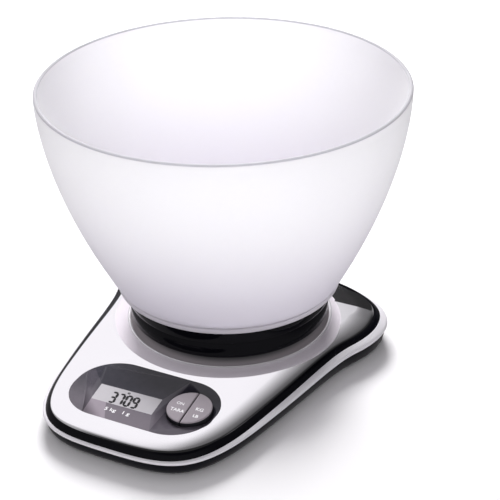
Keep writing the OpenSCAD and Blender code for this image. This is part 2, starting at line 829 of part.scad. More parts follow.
// Two leads from the holder to the board
lead_r = 0.6;
lead_apart = 3;
lead_bend = 2;
lead_lift = 1.4;
board_edge_y = panel_back - board_d / 2 + board_edge;
board_top = deck_at(-board_edge_y) - board_depth;
module battery_leads() {
    color([0.75, 0.1, 0.1]) at_axis() for (s = [-1, 1]) let (x = s * lead_apart) wire([
        [x, -coin_back, holder_top], [x, -coin_back, holder_top + lead_r],
        [x, -coin_back - lead_bend, holder_top + lead_lift],
        [x, -coin_back - holder_out, holder_top + lead_lift],
        [x, -board_edge_y + lead_bend, board_top + lead_lift],
        [x, -board_edge_y, board_top + lead_r],
        [x, -board_edge_y, board_top]
    ], lead_r);
}
// Four-core lead from the load cell's fixed end to the board
cell_lead_r = 0.8;
module cell_leads() {
    high = holder_top + lead_lift + 0.4;
    x = cell_w * 0.75;
    color([0.85, 0.85, 0.85]) at_axis() wire([
        [cell_w / 3, -cell_len / 2, cell_z + cell_h * 0.67],
        [cell_w / 3, -cell_len / 2 - lead_bend, cell_z + cell_h * 0.7],
        [x - 1, -coin_back + holder_out * 0.8, high], [x, -coin_back, high],
        [x, -coin_back - holder_out, high],
        [x, -board_edge_y + lead_bend, board_top + lead_lift],
        [x, -board_edge_y, board_top + lead_r],
        [x, -board_edge_y, board_top]
    ], cell_lead_r);
}

module housing_screws() {
    color([0.7, 0.7, 0.72]) at_axis() for (p = housing_screws_at) {
        translate([p[0], p[1], foot_gap + loose]) {
            cylinder(h = housing_head_h, r = housing_head_r);
            cylinder(h = deck_at(p[1]) - screw_tip - foot_gap - loose, r = housing_screw_r);
        }
    }
}
module rubber_foot(place) {
    color([0.1, 0.1, 0.1]) at_axis() translate([place[0], place[1], 0]) rotate_extrude() polygon([
        [0, 0], [foot_pad_r - 0.9, 0], [foot_pad_r - 0.3, 0.6],
        [foot_pad_r - 0.3, foot_gap], [foot_pad_r - 0.3, foot_gap + foot_pad_sink], [0, foot_gap + foot_pad_sink]
    ]);
}

base_shell();
trim_ring();
waist_band();
top_cover();
housing_screws();
for (k = [0:3]) rubber_foot(feet_at[k]);
display_panel();
lcd_glass();
lcd_holder();
zebra_strips();
main_board();
controller_chip();
board_screws();
switch_bodies();
button_tare();
plunger_tare();
button_unit();
plunger_unit();
load_cell();
gauge_potting();
cell_screws();
overload_stop();
cell_leads();
platform_carrier();
carrier_screws();
tray_skirt();
weighing_tray();
tray_screws();
tray_pad();
bowl();
battery_cap();
coin_cell();
battery_holder();
contact_plus();
contact_minus();
battery_leads();
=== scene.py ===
# %% [markdown]
# # A kitchen scale with a lift-off bowl
# The scale is a low chromed base with a display and two buttons, a round black tray on a load cell
# and a frosted bowl that stands on the tray. The solids come from the CAD frame. This lesson gives
# them their looks: it makes the shiny skins finely enough for mirror reflections, adds the digits
# and the printed words, and builds a material for every piece.

import json
from contextlib import contextmanager
from math import asin, atan, atan2, cos, degrees, hypot, pi, radians, sin

import bmesh
import bpy
import numpy as np
from mathutils import Matrix, Vector


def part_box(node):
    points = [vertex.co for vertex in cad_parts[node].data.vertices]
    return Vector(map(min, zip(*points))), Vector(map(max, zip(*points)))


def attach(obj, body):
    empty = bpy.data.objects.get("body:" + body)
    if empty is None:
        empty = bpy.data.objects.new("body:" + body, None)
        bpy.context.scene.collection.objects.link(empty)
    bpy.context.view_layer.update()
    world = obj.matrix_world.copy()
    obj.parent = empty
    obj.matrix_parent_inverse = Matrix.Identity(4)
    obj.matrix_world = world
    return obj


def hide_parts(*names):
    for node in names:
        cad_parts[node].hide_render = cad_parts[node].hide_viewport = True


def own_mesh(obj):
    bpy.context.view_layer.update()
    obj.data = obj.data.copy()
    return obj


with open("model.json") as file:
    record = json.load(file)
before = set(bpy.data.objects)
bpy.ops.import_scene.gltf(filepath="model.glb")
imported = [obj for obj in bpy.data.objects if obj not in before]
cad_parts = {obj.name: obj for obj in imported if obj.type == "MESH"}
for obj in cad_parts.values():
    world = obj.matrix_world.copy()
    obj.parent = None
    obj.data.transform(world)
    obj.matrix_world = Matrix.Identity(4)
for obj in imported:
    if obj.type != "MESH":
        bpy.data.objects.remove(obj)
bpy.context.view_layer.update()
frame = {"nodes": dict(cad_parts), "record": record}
bodies = frame["record"]["behaviour"]["bodies"]
body_of_node = {node: body for body, nodes in bodies.items() for node in nodes}
slot_of_node = {part["node"]: part["material_slot"] for part in frame["record"]["subparts"]}

# %% [markdown]
# ## Sizes
# Everything hangs on a few places that the frame can tell us: the axis of the round parts, and the
# heights of the tray and the bowl. They are measured in metres from the CAD boxes. The base's
# outline is a formula, so its shaping values are named here in millimetres, as a drawing has them.

# %% Measure the frame
MM = 0.001
bowl_low, bowl_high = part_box("bowl")
tray_low, tray_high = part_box("weighing_tray")
skirt_low, skirt_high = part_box("tray_skirt")
ring_low, ring_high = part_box("trim_ring")
axis_y = (bowl_low[1] + bowl_high[1]) / 2
bowl_r = (bowl_high[0] - bowl_low[0]) / 2
foot_z, rim_z = bowl_low[2], bowl_high[2]
tray_split_z, tray_top_z, tray_low_z = tray_low[2], tray_high[2], skirt_low[2]
tray_r, skirt_r = tray_high[0], skirt_high[0]
collar_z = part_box("top_cover")[1][2]
front_reach = (axis_y - ring_low[1]) / MM
back_reach = (ring_high[1] - axis_y) / MM
print(f"axis {axis_y:.4f}, rim {rim_z:.4f}, tray {tray_low_z:.4f} to {tray_top_z:.4f} m")
print(f"base reaches {front_reach:.1f} mm to the front and {back_reach:.1f} mm to the back")

# %% [markdown]
# ## Sums on sockets
# A node tree is easier to read as a formula. `Wire` holds one socket, and Python's operators on it
# add Math nodes. `Graph` adds any other node in one call: its kind, the values or wires of its
# inputs by name or number, and its settings. Colours are plain red, green and blue.


# %% Wires and graphs
class Wire:
    """One output socket. Sums on it add Math nodes to its graph."""

    def __init__(self, graph, socket):
        self.graph = graph
        self.socket = socket

    def sum(self, kind, first, second=0.0):
        return self.graph.add("ShaderNodeMath", {0: first, 1: second}, operation=kind)

    def out(self, name):
        """Another output of the same node."""
        return Wire(self.graph, self.socket.node.outputs[name])


for sign, kind in {
    "add": "ADD", "sub": "SUBTRACT", "mul": "MULTIPLY", "truediv": "DIVIDE", "pow": "POWER",
}.items():
    setattr(Wire, f"__{sign}__", lambda self, other, kind=kind: self.sum(kind, self, other))
    setattr(Wire, f"__r{sign}__", lambda self, other, kind=kind: self.sum(kind, other, self))


class Graph:
    """A node tree, shader or geometry, that grows by `add`."""

    def __init__(self, tree):
        self.tree = tree

    def add(self, kind, inputs=None, **settings):
        node = self.tree.nodes.new(kind)
        for name, value in settings.items():
            setattr(node, name, value)
        for name, value in (inputs or {}).items():
            self.feed(node.inputs[name], value)
        shown = [s for s in node.outputs if s.enabled]
        return Wire(self, shown[0]) if shown else node

    def feed(self, socket, value):
        if isinstance(value, Wire):
            self.tree.links.new(value.socket, socket)
        else:
            socket.default_value = (*value, 1.0) if socket.type == "RGBA" else value

    def tint(self, factor, first, second):
        """The first colour where the factor is 0 and the second where it is 1."""
        return self.add("ShaderNodeMix", {0: factor, 6: first, 7: second}, data_type="RGBA")

    def ramp(self, factor, start, end):
        """0 below `start`, 1 above `end`, smooth in between."""
        return self.add(
            "ShaderNodeMapRange", {"Value": factor, "From Min": start, "From Max": end},
            interpolation_type="SMOOTHSTEP",
        )


# %% [markdown]
# ## Finishes
# Every finish starts from a Principled shader. What is the same all over is set on the shader
# itself. What varies, such as cloudy colour, uneven gloss and fine grain, is worked out from Object
# coordinates, so that it stays put on the piece. All pieces sit at the origin, unscaled, so one
# unit is one metre, and a scale of 1000 gives a grain of about a millimetre.


# %% A finish with its own graph
finishes = {}


class Finish(Graph):
    """A material with one Principled shader."""

    def __init__(self, name, **fixed):
        self.name = name
        self.material = bpy.data.materials.new(name)
        self.material.use_nodes = True
        super().__init__(self.material.node_tree)
        self.shader = self.tree.nodes["Principled BSDF"]
        for key, value in fixed.items():
            self.shader.inputs[key.replace("_", " ")].default_value = value
        self.place = self.add("ShaderNodeTexCoord").out("Object")
        finishes[name] = self

    def noise(self, scale, detail=3.0, roughness=0.55, stretch=(1, 1, 1)):
        """Cloudy noise from 0 to 1, with about `scale` blobs per metre."""
        where = self.add("ShaderNodeMapping", {"Vector": self.place, "Scale": stretch})
        return self.add(
            "ShaderNodeTexNoise",
            {"Vector": where, "Scale": scale, "Detail": detail, "Roughness": roughness},
        )

    def between(self, factor, low, high):
        """`low` where the factor is 0 and `high` where it is 1."""
        return self.add("ShaderNodeMapRange", {"Value": factor, "To Min": low, "To Max": high})

    def split(self):
        """The x of the place, whose `out` gives "Y" and "Z"."""
        return self.add("ShaderNodeSeparateXYZ", {"Vector": self.place})

    def set(self, name, value):
        self.feed(self.shader.inputs[name], value)

    def bump(self, height, strength, distance):
        """Roughens the surface by a height in units of `distance` metres."""
        node = self.add(
            "ShaderNodeBump",
            {"Height": height, "Strength": strength, "Distance": distance},
        )
        self.set("Normal", node)


def shade(base, factor):
    """The same colour, lighter or darker."""
    return tuple(min(1.0, c * factor) for c in base)


# %% [markdown]
# ### Moulded plastics and rubbers
# A moulded plastic has a faint spark-eroded texture, and clouds in its gloss where hands have
# polished it. One recipe with a few settings serves all of them: the dull shell, the polished
# black band and tray, the natural white parts and the rubber feet.


# %% Plastics
def plastic(name, base, gloss, grain=1400, depth=0.00002, cloud=0.12, **fixed):
    """`gloss` holds the lowest and highest roughness, `cloud` how far the colour wanders."""
    finish = Finish(name, **fixed)
    clouds = finish.noise(45, detail=4)
    finish.set("Base Color", finish.tint(clouds, shade(base, 1 - cloud), shade(base, 1 + cloud)))
    wear = finish.noise(160, detail=5, roughness=0.7)
    finish.set("Roughness", finish.between(wear, gloss[0], gloss[1]))
    finish.bump(finish.noise(grain, detail=2), 0.5, depth)
    return finish


plastic("black_shell", (0.004, 0.004, 0.007), (0.3, 0.45), cloud=0.25, Specular_IOR_Level=0.09)
black_gloss = plastic(
    "black_gloss", (0.0025, 0.0025, 0.004), (0.06, 0.14), grain=500, depth=0.000003,
    Specular_IOR_Level=0.12,
)
plastic("pad_rubber", (0.018, 0.018, 0.018), (0.7, 0.9), depth=0.00005)
plastic("white_plastic", (0.74, 0.74, 0.71), (0.4, 0.55), cloud=0.05)
plastic("connector_rubber", (0.5, 0.11, 0.17), (0.5, 0.7))
plastic("carrier_plastic", (0.02, 0.02, 0.022), (0.45, 0.65))
plastic("black_resin", (0.008, 0.008, 0.008), (0.15, 0.35), grain=700)
plastic("lead_sleeve", (0.5, 0.5, 0.5), (0.45, 0.6))
plastic("lead_red", (0.35, 0.012, 0.01), (0.4, 0.55))
plastic("circuit_board", (0.012, 0.075, 0.03), (0.25, 0.4), cloud=0.3)
print(len(finishes), "plastics and rubbers")

# %% [markdown]
# ### Metals
# Machined and plated metals differ mostly in roughness. Their fine scratches run one way, so the
# noise is stretched along it. The silver ring is satin, and the load cell shows the mill's marks.


# %% Metals
def metal(name, base, gloss, scratch=(1, 1, 1), shine=0.9):
    """`scratch` stretches the scratches along an axis, `shine` is how metallic it is."""
    finish = Finish(name, Metallic=shine)
    clouds = finish.noise(60, detail=4)
    lines = finish.noise(700, detail=3, stretch=scratch)
    finish.set("Base Color", finish.tint(clouds, shade(base, 0.93), shade(base, 1.05)))
    finish.set("Roughness", finish.between(lines * 0.6 + clouds * 0.4, gloss[0], gloss[1]))
    finish.bump(lines, 0.4, 0.000004)
    return finish


satin_trim = metal("satin_trim", (0.88, 0.86, 0.9), (0.24, 0.36), (1, 1, 9), shine=0.25)
metal("screw_steel", (0.55, 0.55, 0.57), (0.25, 0.42))
metal("coin_steel", (0.7, 0.7, 0.72), (0.2, 0.38), scratch=(6, 1, 1))
metal("cell_aluminium", (0.72, 0.73, 0.75), (0.3, 0.45), scratch=(1, 9, 1))
metal("contact_metal", (0.68, 0.58, 0.36), (0.2, 0.35))

# %% [markdown]
# ### Chrome
# The cover is chromed plastic: almost a mirror, with faint polishing marks, a breath of haze and a
# few fingertip clouds. The collar is plated too, but its colours are painted light: its bead is
# pale and only half metallic, a painted highlight; the sweep below it has a lavender painted
# reflection; and the floor inside it is dark with painted shade and reflection, almost black under
# the tray.

# %% Chrome
chromed_cover = Finish("chromed_cover", Metallic=1.0)
haze = chromed_cover.noise(28, detail=5)
marks = chromed_cover.noise(900, detail=2, stretch=(1, 5, 1))
chromed_cover.set("Base Color", chromed_cover.tint(haze, (0.9, 0.9, 0.915), (0.96, 0.955, 0.97)))
chromed_cover.set("Roughness", chromed_cover.between(haze * 0.7 + marks * 0.3, 0.05, 0.13))
chromed_cover.bump(marks, 0.25, 0.000002)


def clouded_painted_chrome(name, low, high, gloss, **fixed):
    """Plating whose colour wanders in clouds between two colours, which the callers give as painted
    light.
    """
    finish = Finish(name, **fixed)
    cloud_noise = finish.noise(40, detail=4)
    finish.plated = finish.tint(cloud_noise, low, high)
    finish.set("Base Color", finish.plated)
    finish.set("Roughness", finish.between(cloud_noise, gloss[0], gloss[1]))
    finish.bump(finish.noise(900), 0.3, 0.000003)
    return finish


smoky_chrome = clouded_painted_chrome(
    "smoky_chrome", (0.2, 0.178, 0.192), (0.26, 0.235, 0.25), (0.3, 0.42), Metallic=0.45,
)
# Painted shade: the colour is dark all over and goes almost black near the tray, for the tray's
# shadow and dark reflection.
x = smoky_chrome.split()
from_axis = ((x * x) + (x.out("Y") - axis_y) ** 2) ** 0.5
outside_painted_shade = smoky_chrome.ramp(from_axis, 0.0555, 0.0625)
smoky_chrome.set(
    "Base Color", smoky_chrome.tint(outside_painted_shade, (0.01, 0.009, 0.012), smoky_chrome.plated),
)
# Painted reflection: the collar's sweep gets a lavender, barely metallic colour in place of what it
# mirrors.
pearl_chrome = clouded_painted_chrome(
    "pearl_chrome", (0.7, 0.65, 0.71), (0.78, 0.73, 0.79), (0.25, 0.35), Metallic=0.15,
)
# Painted highlight: the collar's bead gets a pale, half metallic colour so that it reads bright.
bead_chrome = clouded_painted_chrome(
    "bead_chrome", (0.78, 0.76, 0.8), (0.86, 0.84, 0.88), (0.15, 0.25), Metallic=0.35,
)

# %% [markdown]
# ### Frosted plastic
# The bowl lets light through but shows nothing behind it. Subsurface scattering does that: light
# enters the wall, spreads and leaves again a little further on. Its colour is painted darker
# towards the foot, a painted shade for the lower bowl, which gets less light. The rim and the
# groove over the foot each get a thin painted grey shade line, and a very fine bump makes the
# frosting.

# %% Frosted bowl
frosted_bowl = Finish(
    "frosted_bowl", Subsurface_Weight=0.35, Subsurface_Radius=(0.012, 0.012, 0.013),
    Subsurface_Scale=1.0, IOR=1.46, Specular_IOR_Level=0.3,
)
height = frosted_bowl.split().out("Z")
# Painted shade: the colour is darker towards the foot.
painted_shade_by_height = frosted_bowl.ramp(height, foot_z, foot_z + 0.95 * (rim_z - foot_z))
milk = frosted_bowl.tint(painted_shade_by_height, (0.54, 0.515, 0.56), (0.91, 0.905, 0.92))
mottle = frosted_bowl.noise(220, detail=5, roughness=0.7)
milk = frosted_bowl.tint(mottle * 0.08, milk, (0.66, 0.63, 0.7))
# Painted shade: a thin grey line just under the top of the rim.
painted_rim_shade = frosted_bowl.ramp(height, rim_z - 0.0012, rim_z - 0.0006)
milk = frosted_bowl.tint(painted_rim_shade, milk, (0.5, 0.49, 0.52))
# Painted shade: a thin grey line in the groove over the foot.
painted_groove_shade = frosted_bowl.ramp(height, foot_z + 0.003, foot_z + 0.0036) - frosted_bowl.ramp(
    height, foot_z + 0.0044, foot_z + 0.006,
)
frosted_bowl.set("Base Color", frosted_bowl.tint(painted_groove_shade * 0.5, milk, (0.3, 0.28, 0.31)))
frosted_bowl.set("Roughness", frosted_bowl.between(mottle, 0.42, 0.56))
frosted_bowl.bump(frosted_bowl.noise(2600, detail=2), 0.35, 0.00001)

# %% [markdown]
# ### Panel, display and buttons
# The panel is smoky and polished. The light, shade and reflections on its facets are painted: each
# facet has a painted tone, which the mesh carries as an attribute, and the colour is painted
# lighter towards the front edge. The display is the light grey of a reflective LCD, and the buttons
# are satin taupe with black sides.

# %% Panel, display, buttons and print
smoky_panel = Finish("smoky_panel", Specular_IOR_Level=0.22)
# Painted light: each facet's light and shade comes from an attribute, and the colour is painted
# lighter towards the front edge in place of reflections.
painted_facet_light = smoky_panel.add("ShaderNodeAttribute", attribute_name="painted_facet_light").out("Fac")
fog = smoky_panel.noise(120, detail=4)
painted_front_sheen = 1 - smoky_panel.ramp(smoky_panel.split().out("Y"), axis_y - 0.128, axis_y - 0.102)
smoky_panel.set(
    "Base Color",
    smoky_panel.tint(
        smoky_panel.between(painted_facet_light + painted_front_sheen * 0.22 + fog * 0.1 - 0.05, 0.0, 1.0),
        (0.008, 0.009, 0.017), (0.27, 0.235, 0.272),
    ),
)
smoky_panel.set("Roughness", smoky_panel.between(fog, 0.16, 0.26))
smoky_panel.bump(fog, 0.2, 0.000004)

display_glass = plastic("display_glass", (0.45, 0.435, 0.46), (0.3, 0.4), cloud=0.03, grain=3000)
digit_black = plastic("digit_black", (0.003, 0.003, 0.004), (0.4, 0.5))
print_white = plastic("print_white", (0.95, 0.94, 0.96), (0.4, 0.5), cloud=0.03)
button_grey = plastic("button_grey", (0.33, 0.295, 0.325), (0.3, 0.42), cloud=0.06)
button_side = plastic("button_side", (0.012, 0.012, 0.016), (0.3, 0.4))

for node, thing in frame["nodes"].items():
    thing.data.materials.clear()
    thing.data.materials.append(finishes[slot_of_node[node]].material)
print(len(finishes), "finishes on", len(frame["nodes"]), "nodes")

# %% [markdown]
# ## Pieces from plain lists
# A finished piece is a mesh at the origin with its place in its vertices. `piece` makes one from
# points and faces, turns its faces outwards, and shades it smoothly except along real edges.


# %% Making a piece
def smooth(mesh, sharp):
    """Smooth shading, except along edges above the angle `sharp`."""
    mesh.polygons.foreach_set("use_smooth", [True] * len(mesh.polygons))
    mesh.set_sharp_from_angle(angle=radians(sharp))


@contextmanager
def edited(mesh):
    """Opens a mesh for editing and writes the result back."""
    work = bmesh.new()
    work.from_mesh(mesh)
    yield work
    work.to_mesh(mesh)
    work.free()


def tidy_mesh(mesh, sharp):
    """Merges doubles, turns faces outwards, and shades the mesh."""
    with edited(mesh) as work:
        bmesh.ops.remove_doubles(work, verts=work.verts, dist=1e-7)
        bmesh.ops.recalc_face_normals(work, faces=work.faces)
        if work.calc_volume(signed=True) < 0:
            bmesh.ops.reverse_faces(work, faces=work.faces)
    smooth(mesh, sharp)


def put(name, mesh, finish, body, *stands_for, slot=None):
    """Shows a mesh as a piece that rides on a body and stands for CAD nodes.

    The slot argument is not used."""
    mesh.name = name
    thing = linked(name, mesh)
    if not mesh.materials:
        mesh.materials.append(finish.material)
    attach(thing, body)
    if stands_for:
        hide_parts(*stands_for)
    print(f"{name}: {len(mesh.polygons)} faces")
    return thing


def baked(thing, *helpers):
    """The mesh of an object as its modifiers or its text make it. The objects go."""
    bpy.context.view_layer.update()
    mesh = bpy.data.meshes.new_from_object(
        thing.evaluated_get(bpy.context.evaluated_depsgraph_get())
    )
    for each in (*helpers, thing):
        bpy.data.objects.remove(each)
    return mesh


def linked(name, data):
    """A new object in the scene."""
    thing = bpy.data.objects.new(name, data)
    bpy.context.scene.collection.objects.link(thing)
    return thing


def piece(points, faces, sharp=35):
    mesh = bpy.data.meshes.new("piece")
    mesh.from_pydata([Vector(p) for p in points], [], faces)
    tidy_mesh(mesh, sharp)
    return mesh


# %% [markdown]
# ## The base
# The base's outline is a bell: three curves from the front middle round to the back middle, then
# mirrored. Its side is a stack of bands, each set in from the outline by an amount that changes
# from the front, over the widest place, to the back. The outline is sampled much more finely than
# in CAD, because a mirror shows every facet.

# %% The outline
front_half_w = 70.5
back_half_w = 91.0
front_corner_y = -(front_reach - 57)
back_corner_y = back_reach - 75
OUTLINE_STEPS = 64


def polar(radius, angle, x=0.0, y=0.0):
    """The point at a radius and an angle round (x, y)."""
    return (x + radius * cos(angle), y + radius * sin(angle))


def ahead(angle, distance):
    return distance * Vector(polar(1, radians(angle)))


def curve(a, b, c, d):
    """Points of a Bezier curve, without its end."""
    for i in range(OUTLINE_STEPS):
        t = i / OUTLINE_STEPS
        yield (1 - t) ** 3 * a + 3 * (1 - t) ** 2 * t * b + 3 * (1 - t) * t * t * c + t**3 * d


front_mid = Vector((0, -front_reach))
front_turn = Vector((front_half_w, front_corner_y))
back_turn = Vector((back_half_w, back_corner_y))
back_mid = Vector((0, back_reach))
half = [
    *curve(front_mid, front_mid + Vector((38, 0)), front_turn - ahead(78, 57), front_turn),
    *curve(front_turn, front_turn + ahead(78, 56), back_turn - ahead(66, 20), back_turn),
    *curve(back_turn, back_turn + ahead(66, 74), back_mid + Vector((42, 0)), back_mid),
]
outline = half + [back_mid] + [Vector((-p.x, p.y)) for p in reversed(half[1:])]
count = len(outline)
inward = []
for i in range(count):
    along = (outline[(i + 1) % count] - outline[i - 1]).normalized()
    inward.append(Vector((-along.y, along.x)))
print(count, "points round the base")

# %% Heights and insets of the side
lip_z, lip_slope = 11.5, 0.014
deck_axis_z, deck_slope = 18.1, 0.011
widest_y = back_reach - 42


def lip_at(y):
    return lip_z + lip_slope * y


def deck_at(y):
    return deck_axis_z + deck_slope * y


def blend(triple, y):
    """A value at y from its values at the front, the widest place and the back."""
    front, middle, back = triple
    if y < widest_y:
        return front + (middle - front) * max(0, (y + front_reach) / (widest_y + front_reach))
    return middle + (back - middle) * min(1, (y - widest_y) / (back_reach - widest_y)) ** 1.5


def side_ring(inset, rise):
    """A ring of points at an inset from the outline and a rise from the lip."""
    ring = []
    for p, n in zip(outline, inward):
        q = p + n * blend(inset, p.y)
        ring.append((q.x * MM, axis_y + q.y * MM, (lip_at(p.y) + blend(rise, p.y)) * MM))
    return ring


def smooth_section(corners, steps=6):
    """Rings along a smooth curve through section corners, each an (inset, rise) pair."""
    knots = [np.array(inset + rise) for inset, rise in corners]
    knots = [knots[0], *knots, knots[-1]]
    rings = []
    for p0, p1, p2, p3 in zip(knots, knots[1:], knots[2:], knots[3:]):
        for t in (j / steps for j in range(steps)):
            bend = (2 * p0 - 5 * p1 + 4 * p2 - p3) * t * t + (3 * p1 - p0 - 3 * p2 + p3) * t**3
            middle = 0.5 * (2 * p1 + (p2 - p0) * t + bend)
            rings.append(side_ring(middle[:3], middle[3:]))
    rings.append(side_ring(*corners[-1]))
    return rings


def loft(rings, closed, sharp=35):
    """Joins rings of points: into a hoop if closed, else into a stack with flat ends."""
    n = len(rings[0])
    points = [p for ring in rings for p in ring]
    faces = []
    for j in range(len(rings) if closed else len(rings) - 1):
        k = (j + 1) % len(rings)
        for i in range(n):
            faces.append((j * n + i, j * n + (i + 1) % n, k * n + (i + 1) % n, k * n + i))
    if not closed:
        faces.append(tuple(reversed(range(n))))
        faces.append(tuple(range((len(rings) - 1) * n, len(rings) * n)))
    return piece(points, faces, sharp)


# %% [markdown]
# ### Trim ring and black band
# The silver ring bulges a little and carries the glossy black band, which leans in towards the
# chrome. Both are hoops. Their visible side is a smooth curve through a few section corners, and
# the hidden side is left straight.


# %% Trim ring and black band
def even(value):
    """The same value at the front, the widest place and the back."""
    return (value,) * 3


def deeper(inset, by):
    return tuple(value + by for value in inset)


trim_edge = ((1.2, 4.9, 1.8), (2.1, 4.2, 3.6))
waist_bulge = ((2.9, 7.7, 2.4), (4.3, 5.1, 4.6))
waist_top = ((4.6, 10.0, 3.0), (5.8, 5.4, 5.1))
shell_lip = (4.9, 6.6, 3.4)
ring_lap, band_wall = 1.7, 2.2
trim_rings = smooth_section([
    ((0.3, 0.4, 0.3), even(0.02)), (even(0.02), (0.7, 1.0, 1.0)),
    ((0.2, 1.0, 0.3), (1.5, 2.6, 2.3)), trim_edge,
])
trim_rings.append(side_ring(deeper(shell_lip, ring_lap), trim_edge[1]))
trim_rings.append(side_ring(shell_lip, even(0.02)))
put("trim_ring_skin", loft(trim_rings, True), satin_trim, "base", "trim_ring")

band_rings = smooth_section([
    (deeper(trim_edge[0], 0.3), trim_edge[1]), waist_bulge, waist_top,
])
band_rings.append(side_ring(deeper(waist_top[0], band_wall), waist_top[1]))
band_rings.append(side_ring(deeper(waist_top[0], band_wall), trim_edge[1]))
put("waist_band_skin", loft(band_rings, True), black_gloss, "base", "waist_band")

# %% [markdown]
# ### Lower shell
# The lower shell's openings, for the battery cap, the screws and the feet, are exact in CAD. A
# merged copy of the CAD mesh keeps them, and smooth shading hides its facets. The battery cap, the
# coin cell, the carrier, the load cell and the feet are made in the same way.


# %% Smooth copies of CAD nodes
def smooth_copy(node):
    mesh = frame["nodes"][node].data.copy()
    with edited(mesh) as work:
        bmesh.ops.remove_doubles(work, verts=work.verts, dist=2e-6)
        bmesh.ops.dissolve_degenerate(work, dist=1e-7, edges=work.edges)
    smooth(mesh, 35)
    return mesh


for node in ["base_shell", "battery_cap", "platform_carrier", "load_cell", "coin_cell",
             "foot_front_left", "foot_front_right", "foot_back_left", "foot_back_right"]:
    put(node + "_smooth", smooth_copy(node), None, body_of_node[node], node,
        slot=slot_of_node[node])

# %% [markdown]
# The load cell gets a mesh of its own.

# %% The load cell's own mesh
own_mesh(bpy.data.objects["load_cell_smooth"])

# %% [markdown]
# ### Chromed cover
# The cover's shoulder falls from the flat deck to the black band in a shape that is almost flat at
# first and then rolls over. Behind the collar the deck itself falls a little towards the back.
# Boolean modifiers cut the deck's openings: the recess of the panel, the round hole for the
# buttons in its floor, and the hole through which the load cell carries the tray.

# %% Cover skin
crease_inset = (16.0, 26.0, 5.5)
cover_wall = 2.2
SLOW_FALL, QUICK_FALL = 0.72, 0.28


def shoulder_ring(u, skin):
    """u runs from 0 at the lower edge to 90 at the deck. skin is the depth under the surface."""
    ring = []
    lean = cos(radians(u))
    lift = 1 - SLOW_FALL * lean**1.6 - QUICK_FALL * lean**14
    for p, n in zip(outline, inward):
        low, high = blend(waist_top[0], p.y), blend(crease_inset, p.y)
        q = p + n * (low + (high - low) * (1 - lean) + skin * lean)
        foot = lip_at(p.y) + blend(waist_top[1], p.y)
        z = foot + (deck_at(q.y) - foot) * lift - skin * lift
        ring.append((q.x * MM, axis_y + q.y * MM, z * MM))
    return ring


lining = [shoulder_ring(u, cover_wall) for u in (90, 60, 30, 0)]
skin = [shoulder_ring(u, 0) for u in range(0, 91, 3)]
cover_mesh = loft(lining + skin, False, sharp=180)

# %% Back of the deck
BACK_CREASE, BACK_SLOPE = 42.0, 0.06


def deck_fall(y):
    """How far the deck lies below its slope, y mm behind the axis."""
    return BACK_SLOPE * max(0.0, y - BACK_CREASE)


def deck_top(y):
    return deck_at(y) - deck_fall(y)


with edited(cover_mesh) as work:
    bmesh.ops.bisect_plane(
        work, geom=work.verts[:] + work.edges[:] + work.faces[:],
        plane_co=(0, axis_y + BACK_CREASE * MM, 0), plane_no=(0, 1, 0),
    )
    for v in work.verts:
        y = (v.co.y - axis_y) / MM
        foot = lip_at(y) + blend(waist_top[1], min(y + blend(waist_top[0], y), back_reach))
        # The deck falls by all of it, the cover's lower edge by nothing.
        share = min(1.0, max(0.0, (v.co.z / MM - foot) / (deck_at(y) - foot)))
        v.co.z -= deck_fall(y) * MM * share
print("deck falls by", round(deck_fall(back_reach), 2), "mm at its back edge")

# %% Cutters
panel_half = (48.0, 28.0)
panel_x, panel_corner = -2.0, 26.0
RECESS_PLAY = 0.1
panel_back, panel_t = 107.5, 1.5
button_x, button_y, button_r = 30.2, -1.6, 13.8
hub_r = 27.5
on_panel = (
    Matrix.Translation((0, axis_y - panel_back * MM, deck_at(-panel_back) * MM))
    @ Matrix.Rotation(atan(deck_slope), 4, "X")
)


def rounded(half_x, half_y, radius, x=0.0, y=0.0, steps=24):
    """Points of a rectangle with round corners, counter-clockwise."""
    points = []
    for quarter, (sx, sy) in enumerate([(1, 1), (-1, 1), (-1, -1), (1, -1)]):
        for k in range(steps + 1):
            turn = pi / 2 * (quarter + k / steps)
            corner = (x + sx * (half_x - radius), y + sy * (half_y - radius))
            points.append(polar(radius, turn, *corner))
    return points


def tapered(low_points, low, high_points, high, place):
    """A block between two outlines with the same number of points, all in millimetres."""
    n = len(low_points)
    points = [place @ Vector((x * MM, y * MM, low * MM)) for x, y in low_points]
    points += [place @ Vector((x * MM, y * MM, high * MM)) for x, y in high_points]
    faces = [tuple(reversed(range(n))), tuple(range(n, 2 * n))]
    faces += [(i, (i + 1) % n, n + (i + 1) % n, n + i) for i in range(n)]
    return piece(points, faces)


def prism(points, low, high, place):
    """An upright block over an outline."""
    return tapered(points, low, points, high, place)


def cut(mesh, *tools):
    """Cuts tools out of a mesh with Boolean modifiers and returns the plain result."""
    thing = linked("cutting", mesh)
    helpers = []
    for tool in tools:
        helpers.append(linked("tool", tool))
        modifier = thing.modifiers.new("cut", "BOOLEAN")
        modifier.operation = "DIFFERENCE"
        modifier.solver = "EXACT"
        modifier.object = helpers[-1]
    return baked(thing, *helpers)


def circle(radius, x=0.0, y=0.0, steps=96):
    return [polar(radius, 2 * pi * k / steps, x, y) for k in range(steps)]


recess_half = [half + RECESS_PLAY for half in panel_half]
recess = prism(rounded(*recess_half, panel_corner + RECESS_PLAY, x=panel_x), -panel_t, 5, on_panel)
hub_hole = prism(circle(hub_r), 5, 30, Matrix.Translation((0, axis_y, 0)))
button_hole = prism(circle(button_r + 0.9, button_x, button_y), -12, 0, on_panel)
cover_mesh = cut(cover_mesh, recess, hub_hole, button_hole)
smooth(cover_mesh, 2.2)
put("chrome_cover", cover_mesh, chromed_cover, "base", "top_cover")

# %% [markdown]
# ### Collar
# Round the tray the deck swells up into a collar: a concave sweep, a rounded bead and a short fall
# inside. The deck slopes and the collar's top is level, so the sweep is higher at the front. A ring
# of profiles, one per angle, follows both.

